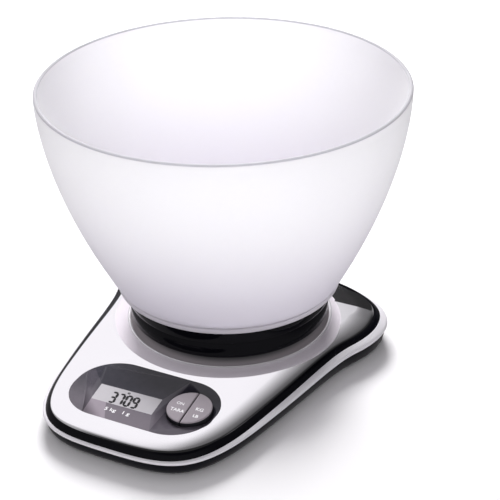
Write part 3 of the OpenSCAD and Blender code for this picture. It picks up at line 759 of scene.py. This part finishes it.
# %% Collar
COLLAR_TURNS = 192
SWEEP_STEPS = BEAD_STEPS = 12
bead_r, BEAD_ROUND = 66.6, 1.2
SWEEP_R, SWEEP_R_BACK = 75.5, 7.1
collar_profile = [("sweep", k / SWEEP_STEPS) for k in range(SWEEP_STEPS + 1)]
collar_profile += [("bead", k / BEAD_STEPS) for k in range(1, BEAD_STEPS + 1)]


def collar_point(kind, t, angle):
    """One point of the collar's section at an angle round the axis."""
    outer = SWEEP_R - SWEEP_R_BACK * max(0.0, sin(angle))
    top = collar_z / MM
    climb = top - 0.35 - deck_top(outer * sin(angle))
    if kind == "sweep":
        r = outer + (bead_r + 0.5 - outer) * t
        z = deck_top(r * sin(angle)) + climb * t**2.2
    else:
        r, z = polar(BEAD_ROUND, radians(20 + 160 * t), bead_r - 0.5, top - BEAD_ROUND)
        z -= 0.6 * max(0.0, t - 0.6)
    return r * MM, z * MM


collar_rings = []
for kind, t in collar_profile:
    ring = []
    for k in range(COLLAR_TURNS):
        angle = 2 * pi * k / COLLAR_TURNS
        r, z = collar_point(kind, t, angle)
        ring.append((*polar(r, angle, 0, axis_y), z))
    collar_rings.append(ring)
inner_low = [
    (x * 0.985, axis_y + (y - axis_y) * 0.985, collar_z - 0.003) for x, y, z in collar_rings[-1]
]
outer_low = [(x, y, collar_z - 0.0035) for x, y, z in collar_rings[0]]
collar_rings += [inner_low, outer_low]
collar_mesh = loft(collar_rings, True, sharp=50)
for finish in (bead_chrome, pearl_chrome):
    collar_mesh.materials.append(finish.material)
# The bead's faces get the painted highlight, the sweep's faces the painted reflection.
for face in collar_mesh.polygons:
    reach = hypot(face.center.x, face.center.y - axis_y) / MM
    face.material_index = 1 if reach > bead_r + 0.7 else 0
put("collar", collar_mesh, bead_chrome, "base", slot="chromed_cover")

# %% [markdown]
# ## Round pieces by a rule
# The bowl, the tray and its skirt are turned: each is one profile carried round an axis. That is a
# rule, so a Geometry Nodes tree makes them. The profile is a short line of points. A grid gets one
# column per step of the turn and one row per profile point, and every grid point looks up its
# profile point and swings it round. Merging closes the seam and the poles.


# %% The turning tree
def new_tree(name, sockets):
    """A geometry tree with named inputs, and its graph with the wires of those inputs."""
    tree = bpy.data.node_groups.new(name, "GeometryNodeTree")
    tree.interface.new_socket("Geometry", in_out="INPUT", socket_type="NodeSocketGeometry")
    for label, kind in sockets:
        tree.interface.new_socket(label, in_out="INPUT", socket_type=kind)
    tree.interface.new_socket("Geometry", in_out="OUTPUT", socket_type="NodeSocketGeometry")
    graph = Graph(tree)
    entry = tree.nodes.new("NodeGroupInput")
    return graph, {s.name: Wire(graph, s) for s in entry.outputs if s.name}


def close_tree(graph, geometry, material):
    """Ends a tree with Realize Instances and Set Material."""
    real = graph.add("GeometryNodeRealizeInstances", {"Geometry": geometry})
    done = graph.add("GeometryNodeSetMaterial", {"Geometry": real, "Material": material})
    graph.feed(graph.tree.nodes.new("NodeGroupOutput").inputs[0], done)
    return graph.tree


turn, given = new_tree("Turning", [
    ("Steps", "NodeSocketInt"), ("Axis Y", "NodeSocketFloat"), ("Finish", "NodeSocketMaterial"),
])
rows = turn.add(
    "GeometryNodeAttributeDomainSize", {"Geometry": given["Geometry"]}, component="MESH",
).out("Point Count")
grid = turn.add("GeometryNodeMeshGrid", {"Vertices X": given["Steps"] + 1, "Vertices Y": rows})
index = turn.add("GeometryNodeInputIndex")
row = index.sum("FLOORED_MODULO", index, rows)
column = index.sum("FLOOR", (index - row) / rows + 0.5)
spot = turn.add(
    "GeometryNodeSampleIndex",
    {"Geometry": given["Geometry"], "Value": turn.add("GeometryNodeInputPosition"), "Index": row},
    data_type="FLOAT_VECTOR", domain="POINT",
)
parts = turn.add("ShaderNodeSeparateXYZ", {"Vector": spot})
angle = column / given["Steps"] * (2 * pi)
radius = parts.out("X")
swung = turn.add("ShaderNodeCombineXYZ", {
    "X": radius * angle.sum("COSINE", angle),
    "Y": given["Axis Y"] + radius * angle.sum("SINE", angle),
    "Z": parts.out("Z"),
})
moved = turn.add("GeometryNodeSetPosition", {"Geometry": grid, "Position": swung})
joined = turn.add("GeometryNodeMergeByDistance", {"Geometry": moved, "Distance": 1e-6})
turning = close_tree(turn, joined, given["Finish"])


def run_tree(mesh, tree, values):
    """Applies a tree to a mesh and returns the result as a plain mesh."""
    thing = linked("tree", mesh)
    modifier = thing.modifiers.new("tree", "NODES")
    modifier.node_group = tree
    for socket in tree.interface.items_tree:
        if socket.in_out == "INPUT" and socket.name in values:
            modifier[socket.identifier] = values[socket.name]
    return baked(thing)


def turned(profile, finish, steps=256, sharp=50):
    """Turns a profile of (radius, height) points in millimetres round the common axis."""
    line = bpy.data.meshes.new("profile")
    links = [(k, k + 1) for k in range(len(profile) - 1)]
    line.from_pydata([(r * MM, 0, z * MM) for r, z in profile], links, [])
    settings = {"Steps": steps, "Axis Y": axis_y, "Finish": finish.material}
    mesh = run_tree(line, turning, settings)
    tidy_mesh(mesh, sharp)
    return mesh


def arc(x, z, radius, start, end, steps=8):
    """Profile points on an arc round (x, z), angles in degrees."""
    turns = [radians(start + (end - start) * k / steps) for k in range(steps + 1)]
    return [polar(radius, angle, x, z) for angle in turns]


# %% [markdown]
# ### Floor of the collar
# Between the bead and the tray lies a ring of dull, dark plating, turned like the bowl. Its dark
# colour is painted shade and reflection of the tray, almost black next to it.

# %% Collar floor
floor_mm = collar_z / MM - 0.55
floor_in, floor_out, floor_t = hub_r + 0.1, 65.8, 0.3
floor_profile = [
    (floor_in, floor_mm - floor_t), (floor_out, floor_mm - floor_t), (floor_out, floor_mm),
    (floor_in, floor_mm), (floor_in, floor_mm - floor_t),
]
ring_mesh = turned(floor_profile, smoky_chrome, steps=192)
put("collar_floor", ring_mesh, smoky_chrome, "base", slot="chromed_cover")

# %% [markdown]
# ### Bowl
# The bowl stands on a foot band with a groove above it, swells to its rim, and ends in a thick
# rounded bead that makes it stiff and pleasant to carry. Its wall swells quickly near the foot and
# ends upright at the rim, which one power of the height describes.

# %% Bowl
bowl_mm, foot_mm, rim_mm = bowl_r / MM, foot_z / MM, rim_z / MM
foot_r, foot_in, foot_band, groove = 72.0, 68.2, 3.6, 0.7
wall, bead, bowl_fullness = 2.4, 1.45, 1.7
wall_low = foot_mm + foot_band + groove
wall_high = rim_mm - bead
top_mm = tray_top_z / MM


def bowl_out(t):
    return foot_r + 0.6 + (bowl_mm - foot_r - 0.6) * (1 - (1 - t) ** bowl_fullness)


outside, inside = [], []
for k in range(65):
    t = (k / 64) ** 1.15
    z = wall_low + (wall_high - wall_low) * t
    outside.append((bowl_out(t), z))
    swell = bowl_out(t) - bowl_out(max(0, t - 0.01))
    slope = Vector((swell, (wall_high - wall_low) * min(t, 0.01)))
    if k > 3:
        lean = Vector((-slope.y, slope.x)).normalized() * wall
        inside.append((bowl_out(t) + lean.x, z + lean.y))
bowl_profile = (
    [(0, top_mm + 0.02), (foot_in - 0.5, top_mm + 0.02), (foot_in, top_mm - 0.5)]
    + arc(foot_in + 0.6, foot_mm + 0.6, 0.6, 180, 270, 4)
    + arc(foot_r - 1.2, foot_mm + 1.2, 1.2, 270, 360, 6)
    + arc(foot_r - 0.9, foot_mm + foot_band - 0.9, 0.9, 0, 80, 5)
    + [(foot_r - groove, foot_mm + foot_band + 0.15)]
    + outside
    + arc(bowl_mm - bead, rim_mm - bead, bead, 15, 165, 12)
    + [p for p in reversed(inside) if top_mm + 9 < p[1] < rim_mm - 1.5 * bead]
    + arc(foot_r - 5.0, top_mm + 2.5 + 6.0, 6.0, -25, -90, 8)
    + [(0, top_mm + 2.5)]
)
bowl_mesh = turned(bowl_profile, frosted_bowl)
put("frosted_bowl", bowl_mesh, frosted_bowl, "bowl", "bowl")

# %% [markdown]
# ### Tray and skirt
# The black tray is two mouldings that meet at a fine groove: the tray with its rounded rim, and a
# skirt that hides the carrier below. Both are polished.

# %% Tray and skirt
split_mm, low_mm = tray_split_z / MM, tray_low_z / MM
tray_mm, skirt_mm, tray_wall, plate_mm = tray_r / MM, skirt_r / MM - 0.7, 2.2, 46.5
split_r = tray_mm - 2
pad_in, pad_out, pad_t = 50.0, 60.0, 0.8
tray_profile = (
    [(0, plate_mm), (tray_mm - tray_wall - 0.6, plate_mm), (split_r - tray_wall, split_mm)]
    + arc(split_r - 0.35, split_mm + 0.35, 0.35, 270, 355, 4)
    + arc(tray_mm - 1.2, top_mm - 1.2, 1.2, 0, 90, 8)
    + [(pad_out, top_mm), (pad_out, top_mm - pad_t), (pad_in, top_mm - pad_t), (pad_in, top_mm)]
    + [(0, top_mm)]
)
tray_mesh = turned(tray_profile, black_gloss)
put("tray_skin", tray_mesh, black_gloss, "platform", "weighing_tray")
tongue = split_r - tray_wall - 0.05
skirt_profile = (
    [(skirt_mm - tray_wall, low_mm)]
    + arc(skirt_mm - 0.8, low_mm + 0.8, 0.8, 270, 360, 6)
    + [(split_r - 0.55, split_mm - 0.25), (split_r - 0.8, split_mm), (tongue, split_mm)]
    + [(tongue, split_mm + 3), (tongue - 1.6, split_mm + 3), (tongue - 1.6, split_mm - 1)]
    + [(skirt_mm - tray_wall, low_mm)]
)
skirt_mesh = turned(skirt_profile, black_gloss)
put("tray_skirt_skin", skirt_mesh, black_gloss, "platform", "tray_skirt")

# %% [markdown]
# ### Display panel
# The panel is a smoky plate with round ends. Four flat facets slope from its edge down to the
# display window, and a round well at its right holds the buttons. Facets and well are cut from an
# upright prism. Afterwards each face gets a painted light or shade by the way it points, and one
# end of the bottom facet a painted reflection.

# %% Panel plate
window_depth = 0.9
window = [(-34.2, 2.9), (8.2, 4.0), (9.9, -12.1), (-31.9, -12.8)]
facet_ends = [(-50.0, 18.6), (15.2, 26.5), (17.2, -27.5), (-28.5, -28.2)]
button_rise, button_gap, button_turn = 4.0, 0.7, 3.0
BUTTON_SLANT = 0.1
FACETS_OVER = 0.3

plate = prism(rounded(*panel_half, panel_corner, x=panel_x), -panel_t, 0, on_panel)
further = 1 + FACETS_OVER / window_depth
far_ends = [tuple(w + (e - w) * further for w, e in zip(*ends)) for ends in zip(window, facet_ends)]
facets = tapered(window[::-1], -window_depth, far_ends[::-1], FACETS_OVER, on_panel)
well = prism(circle(button_r + 0.4, button_x, button_y), -5, 5, on_panel)
plate = cut(plate, facets, well)

# %% Panel tones
# How light each kind of face is painted, by the way it points, in place of the light and
# reflections on it. The patch is a painted reflection at the bright end of the bottom facet.
PAINTED_FACET_LIGHTS = {
    "top": 0.06, "left": 0.15, "bottom": 0.31, "right": 0.2, "flat": 0.06, "patch": 0.95,
    "side": 0.03,
}
off_panel = on_panel.inverted()
reflection_patch_end = on_panel @ Vector((-17.4 * MM, -20 * MM, 0))
across = (on_panel.to_3x3() @ Vector((1, 0.55, 0))).normalized()


def lean_of(face):
    return off_panel.to_3x3() @ face.normal


with edited(plate) as work:
    lower = [f for f in work.faces if lean_of(f).y > 0.02 and lean_of(f).z > 0.9]
    edges = list({e for f in lower for e in f.edges})
    corners = list({v for f in lower for v in f.verts})
    bmesh.ops.bisect_plane(work, geom=lower + edges + corners, plane_co=reflection_patch_end, plane_no=across)
# Each face gets a painted light or shade by the way it points, and the patch a painted reflection.
painted_facet_lights = plate.attributes.new("painted_facet_light", "FLOAT", "FACE")
for face in plate.polygons:
    lean = lean_of(face)
    if lean.z < 0.9:
        kind = "side"
    elif lean.z > 0.9995:
        kind = "left" if (off_panel @ face.center).x < -38 * MM else "flat"
    elif abs(lean.x) > abs(lean.y):
        kind = "left" if lean.x > 0 else "right"
    elif lean.y < 0:
        kind = "top"
    else:
        kind = "patch" if (face.center - reflection_patch_end).dot(across) < 0 else "bottom"
    painted_facet_lights.data[face.index].value = PAINTED_FACET_LIGHTS[kind]
put("display_panel_plate", plate, smoky_panel, "base", "display_panel")

# %% [markdown]
# ### Display
# The display is a pale plate just below the window. Its digits are seven-segment bars. The same bar
# repeats, so a Geometry Nodes tree sets one on each segment's middle point, turned and stretched by
# two attributes of that point.

# %% Display plate
glass = prism(window[::-1], -panel_t - 2, -window_depth + 0.02, on_panel)
put("display_plate", glass, display_glass, "base", "lcd_glass")

# %% Digits
# The bars' middles in a digit of width 1 and height 2, and whether each bar lies flat.
BARS = {
    "A": (0.5, 2.0, True), "B": (1.0, 1.5, False), "C": (1.0, 0.5, False), "D": (0.5, 0.0, True),
    "E": (0.0, 0.5, False), "F": (0.0, 1.5, False), "G": (0.5, 1.0, True),
}
SHOWN = {"3": "ABCDG", "7": "ABC", "0": "ABCDEF", "9": "ABCDFG"}
digit_x, digit_y, digit_w, digit_h = -20.6, -11.3, 3.15, 9.7
digit_pitch, digit_lean = 5.0, -0.2

middles, turns, stretches = [], [], []
for place, digit in enumerate("3709"):
    for bar in SHOWN[digit]:
        u, v, flat = BARS[bar]
        rise = v * digit_h / 2
        bar_x = digit_x + place * digit_pitch + u * digit_w + rise * digit_lean
        bar_y = digit_y + rise + 0.03 * place * digit_pitch
        middles.append(Vector((bar_x * MM, bar_y * MM, (0.06 - window_depth) * MM)))
        turns.append(0.0 if flat else atan2(1, digit_lean))
        stretches.append(digit_w * 0.86 if flat else digit_h / 2 * 0.9)

spots = bpy.data.meshes.new("digit_spots")
spots.from_pydata(middles, [], [])
spots.attributes.new("turn", "FLOAT", "POINT").data.foreach_set("value", turns)
spots.attributes.new("stretch", "FLOAT", "POINT").data.foreach_set("value", stretches)

bars, given = new_tree("Digit bars", [
    ("Bar Width", "NodeSocketFloat"), ("Bar Height", "NodeSocketFloat"),
    ("Finish", "NodeSocketMaterial"),
])
bar_size = bars.add("ShaderNodeCombineXYZ", {
    "X": MM, "Y": given["Bar Width"], "Z": given["Bar Height"],
})
cube = bars.add("GeometryNodeMeshCube", {"Size": bar_size, "Vertices X": 3})
where = bars.add("GeometryNodeInputPosition")
xyz = bars.add("ShaderNodeSeparateXYZ", {"Vector": where})
end = xyz.sum("ABSOLUTE", xyz) / (0.5 * MM)
slim = bars.add("ShaderNodeCombineXYZ", {
    "X": xyz, "Y": xyz.out("Y") * (1 - 0.4 * end), "Z": xyz.out("Z"),
})
pointed = bars.add("GeometryNodeSetPosition", {"Geometry": cube, "Position": slim})
turn_of, stretch_of = (
    bars.add("GeometryNodeInputNamedAttribute", {"Name": name}, data_type="FLOAT")
    for name in ("turn", "stretch")
)
copies = bars.add("GeometryNodeInstanceOnPoints", {
    "Points": given["Geometry"], "Instance": pointed,
    "Rotation": bars.add("ShaderNodeCombineXYZ", {"Z": turn_of}),
    "Scale": bars.add("ShaderNodeCombineXYZ", {"X": stretch_of, "Y": 1.0, "Z": 1.0}),
})
digits = run_tree(spots, close_tree(bars, copies, given["Finish"]), {
    "Bar Width": 1.75 * MM, "Bar Height": 0.12 * MM, "Finish": digit_black.material,
})
digits.transform(on_panel)
put("digits", digits, digit_black, "base", slot="display_glass")

# %% [markdown]
# ### Printed words
# The buttons and the panel carry a few plain words. Each is a text curve of Blender's own font,
# turned into a thin mesh, sheared like the display and laid on its surface.


# %% Lettering
# The font's size for letters 1 high, and how thick the print is, in millimetres.
FONT_SIZE, INK = 1.38, 0.04


def word(name, text, height, x, y, z, body, lean, bold, turn=0.0, tip=0.0, finish=print_white):
    """A printed word centred at (x, y) on the panel, z above it, in millimetres.

    It leans like italics, turns on the panel, tips back, and `bold` thickens its strokes."""
    curve_data = bpy.data.curves.new(name, "FONT")
    curve_data.body = text
    curve_data.size = height * MM * FONT_SIZE
    curve_data.align_x = "CENTER"
    curve_data.align_y = "CENTER"
    curve_data.extrude = INK / 2 * MM
    curve_data.offset = bold * MM
    mesh = baked(linked(name, curve_data))
    shear = Matrix(((1, lean, 0, 0), (0, 1, 0, 0), (0, 0, 1, 0), (0, 0, 0, 1)))
    mesh.transform(
        on_panel @ Matrix.Translation((x * MM, y * MM, (z + INK / 2) * MM))
        @ Matrix.Rotation(radians(tip), 4, "X")
        @ Matrix.Rotation(radians(turn), 4, "Z") @ shear
    )
    mesh.materials.clear()
    slot = "white_plastic" if finish is print_white else "display_glass"
    return put(name, mesh, finish, body, slot=slot)


for name, text, height, x, y, body, bold in [
    ("word_on", "ON", 2.3, 23.6, -0.6, "tare_button", 0.03),
    ("word_tare", "TARA", 2.6, 24.6, -6.6, "tare_button", 0.08),
    ("word_kg", "KG", 2.7, 37.0, -1.4, "unit_button", 0.08),
    ("word_lb", "LB", 2.4, 37.4, -7.4, "unit_button", 0.08),
]:
    word(name, text, height, x, y, button_rise + BUTTON_SLANT * (y - button_y), body,
         lean=-0.1, turn=1.5, tip=degrees(atan(BUTTON_SLANT)), bold=bold)
word("word_capacity", "5 kg   1 g", 3.3, -10.2, -18.3, -0.48, "base",
     lean=-0.1, turn=3, tip=-3.3, bold=0.04)
word("digit_mark", "o", 2.4, -13.5, 1.3, -window_depth + 0.04, "base",
     lean=digit_lean, bold=0.15, finish=digit_black)

# %% [markdown]
# ### Buttons
# The pair of buttons is one disc cut in two. Its top is flat with a rounded edge, taupe on top and
# black down the lower part of the side.

# %% Buttons
BUTTON_EDGE, CAP_DEPTH, BUTTON_FOOT = 0.9, 1.0, -1.3
turned_by = radians(button_turn)
on_buttons = (
    on_panel @ Matrix.Translation((button_x * MM, button_y * MM, 0))
    @ Matrix.Rotation(turned_by, 4, "Z")
)


def half_disc(radius, gap, side, steps=48):
    """Outline of the left (-1) or right (1) half of a disc cut by a gap."""
    reach = pi / 2 - asin(gap / 2 / radius)
    angles = [-reach + 2 * reach * k / steps for k in range(steps + 1)]
    return [polar(side * radius, angle) for angle in angles]


def button_mesh(side):
    """Stacks half discs so that the top edge is round, then closes both ends."""
    levels = [(button_r, BUTTON_FOOT)]
    levels += arc(button_r - BUTTON_EDGE, button_rise - BUTTON_EDGE, BUTTON_EDGE, 0, 90, 6)
    rings = []
    for radius, z in levels:
        slant = BUTTON_SLANT * max(0.0, z) / button_rise
        ring = []
        for x, y in half_disc(radius, button_gap + 1.2 * (button_r - radius), side):
            rise = slant * (x * sin(turned_by) + y * cos(turned_by))
            ring.append(on_buttons @ Vector((x * MM, y * MM, (z + rise) * MM)))
        rings.append(ring)
    mesh = loft(rings, False, sharp=40)
    for finish in (button_grey, button_side):
        mesh.materials.append(finish.material)
    for face in mesh.polygons:
        middle = off_panel @ face.center
        lift = middle.z / MM - BUTTON_SLANT * (middle.y / MM - button_y)
        face.material_index = 0 if lift > button_rise - CAP_DEPTH else 1
    return mesh


put("button_left", button_mesh(-1), button_grey, "tare_button", "button_tare")
put("button_right", button_mesh(1), button_grey, "unit_button", "button_unit")

# %% [markdown]
# ## Camera, floor and light
# The camera stands in front and to the right, a metre away, looking down by about thirty degrees
# through a long lens. A pale floor catches a soft shadow.

# %% Camera
pull_back, climb, round_by = 0.9828, 0.5488, 28.57
yaw, pitch, roll = 0.0168, -0.0395, -0.0211
dip = climb + pitch
forward = Vector((sin(yaw) * cos(dip), cos(yaw) * cos(dip), -sin(dip)))
level = Vector((cos(yaw), -sin(yaw), 0))
upward = level.cross(forward)
right = cos(roll) * level + sin(roll) * upward
up = -sin(roll) * level + cos(roll) * upward
pose = Matrix((right, up, -forward)).transposed().to_4x4()
pose.translation = (0, -pull_back * cos(climb), pull_back * sin(climb))
orbit = Matrix.Translation((0, axis_y, 0.0205)) @ Matrix.Rotation(radians(round_by), 4, "Z")
camera = linked("camera", bpy.data.cameras.new("camera"))
camera.data.sensor_width = 36
camera.data.lens = 107.4
camera.data.clip_start = 0.02
camera.data.clip_end = 20
camera.matrix_world = orbit @ pose
bpy.context.scene.camera = camera
print("camera at", [round(v, 3) for v in camera.location])

# %% Floor
paper = plastic("floor_paper", (0.86, 0.85, 0.86), (0.85, 0.95), cloud=0.01)
paper.set("Base Color", paper.tint(paper.noise(3), (0.86, 0.85, 0.865), (0.88, 0.87, 0.885)))
floor_mesh = bpy.data.meshes.new("floor")
floor_mesh.from_pydata([(-4, -4, 0), (4, -4, 0), (4, 4, 0), (-4, 4, 0)], [], [(0, 1, 2, 3)])
floor_mesh.materials.append(paper.material)
linked("floor", floor_mesh)

# %% [markdown]
# Chrome has no look of its own: it shows the room. So the world is a dim room with one soft window
# behind the scale at its left, which the flat deck mirrors. Darker zones give the shoulder and the
# back of the deck their dark bands. Only this room is mirrored: the floor, the bowl, the tray and
# the lamps are left out of reflections. The thin milky bowl casts no shadow.

# %% Room
world = bpy.data.worlds.new("studio")
world.use_nodes = True
sky = Graph(world.node_tree)
direction = sky.add("ShaderNodeTexCoord").out("Generated")


def patch(turn, rise, full, none):
    """1 within `full` degrees of a direction, falling to 0 at `none` degrees.

    The direction is an angle from +X towards +Y and an angle above the horizon."""
    turn, rise = radians(turn), radians(rise)
    near = sky.add(
        "ShaderNodeVectorMath", {0: direction, 1: (*polar(cos(rise), turn), sin(rise))},
        operation="DOT_PRODUCT",
    ).out("Value")
    return sky.ramp(near, cos(radians(none)), cos(radians(full)))


room = 0.38 - 0.22 * patch(45, 20, 32, 60) - 0.24 * patch(98, 47, 8, 24)
room = room + 0.1 * patch(-62, 15, 30, 80) - 0.9 * patch(0, 90, 14, 36)
window_glow = patch(136, 31, 15, 24)
flag = 0.93 * patch(108, 22, 6.5, 11)
light = (room.sum("MAXIMUM", room, 0.02) * (1 - window_glow) + window_glow) * (1 - flag)
inputs = world.node_tree.nodes["Background"].inputs
sky.feed(inputs["Color"], sky.tint(light, (0.0, 0.0, 0.0), (1.0, 0.975, 1.015)))
sky.feed(inputs["Strength"], 1.0)
bpy.context.scene.world = world
bpy.context.scene.view_settings.view_transform = "Standard"
for name in ["floor", "frosted_bowl", "tray_skin", "tray_skirt_skin", "platform_carrier_smooth",
             "carrier_screws", "tray_screws", "tray_pad"]:
    bpy.data.objects[name].visible_glossy = False
bpy.data.objects["frosted_bowl"].visible_shadow = False

# %% [markdown]
# A lamp high behind the scale at its left casts its shadow towards the front. A wide, weak one
# above fills the bowl, and a weaker one in front opens up the dark sides.


# %% Lamps
def area_light(name, size, watts, spot, aim):
    lamp = bpy.data.lights.new(name, "AREA")
    lamp.shape = "RECTANGLE"
    lamp.size, lamp.size_y = size
    lamp.energy = watts
    thing = linked(name, lamp)
    facing = (Vector(aim) - Vector(spot)).to_track_quat("-Z", "Y").to_matrix().to_4x4()
    thing.matrix_world = Matrix.Translation(spot) @ facing
    thing.visible_glossy = False


area_light("key", (0.7, 0.7), 52, (-0.71, 1.22, 0.94), (0, 0.05, 0.05))
area_light("top", (3.0, 3.0), 9, (0.0, 0.0, 1.8), (0, 0.02, 0.1))
area_light("fill", (1.2, 0.8), 3, (0.6, -1.0, 0.35), (0, 0.0, 0.1))
